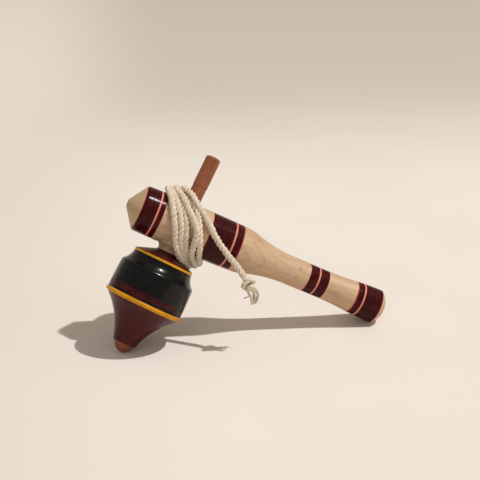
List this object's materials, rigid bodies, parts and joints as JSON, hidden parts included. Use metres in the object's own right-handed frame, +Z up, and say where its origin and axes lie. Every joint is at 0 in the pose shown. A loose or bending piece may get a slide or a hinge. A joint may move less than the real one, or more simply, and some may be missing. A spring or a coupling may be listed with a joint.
{
  "type": "spinning top with launcher handle",
  "caption": "Turned and lac-coated wooden spinning top whose stem sits in the cross bore of a launcher handle, with a knotted pull cord wound round the handle's head.",
  "frame": {"origin": "on the ground, under the centre of the bounding box of the wooden pieces", "axes": "+X from the handle's nose to its butt, along the ground; +Z up; the cord's knotted end hangs on the -Y side"},
  "size_m": [0.1882, 0.0729, 0.1185],
  "materials": {
    "pale_wood": "satin",
    "red_wood": "satin",
    "maroon_lac": "gloss",
    "black_lac": "gloss",
    "yellow_lac": "gloss",
    "pink_lac": "gloss",
    "cotton_cord": "matte"
  },
  "bodies": {
    "handle": {"handle_core": "pale_wood", "head_band_front": "maroon_lac", "head_band_line": "pink_lac", "head_band_rear": "maroon_lac", "collar_band_front": "maroon_lac", "collar_band_line": "pink_lac", "collar_band_rear": "maroon_lac", "collar_edge_line": "pink_lac", "grip_band_front": "maroon_lac", "grip_band_line": "pink_lac", "grip_band_rear": "maroon_lac", "butt_edge_line": "pink_lac", "butt_band_front": "maroon_lac", "butt_band_line": "pink_lac", "butt_band_rear": "maroon_lac", "cord_wrap": "cotton_cord", "cord_tail": "cotton_cord", "cord_knot": "cotton_cord", "cord_fray": "cotton_cord"},
    "stem": {"top_stem": "red_wood"},
    "top": {"top_body": "pale_wood", "top_tip": "red_wood", "cone_coat": "maroon_lac", "lower_ring": "yellow_lac", "edge_line": "black_lac", "stripe_coat": "maroon_lac", "belly_coat": "black_lac", "upper_ring": "yellow_lac", "shoulder_coat": "maroon_lac"}
  },
  "joints": [
    {"name": "top_drop", "type": "slide", "parent": "handle", "child": "stem", "axis": [-0.4812, -0.3001, -0.8236], "range_m": [0, 0.07]},
    {"name": "top_spin", "type": "hinge", "parent": "stem", "child": "top", "pos_m": [-0.04365, 0.01148, 0.07591], "axis": [0.4812, 0.3001, 0.8236], "continuous": true}
  ]
}
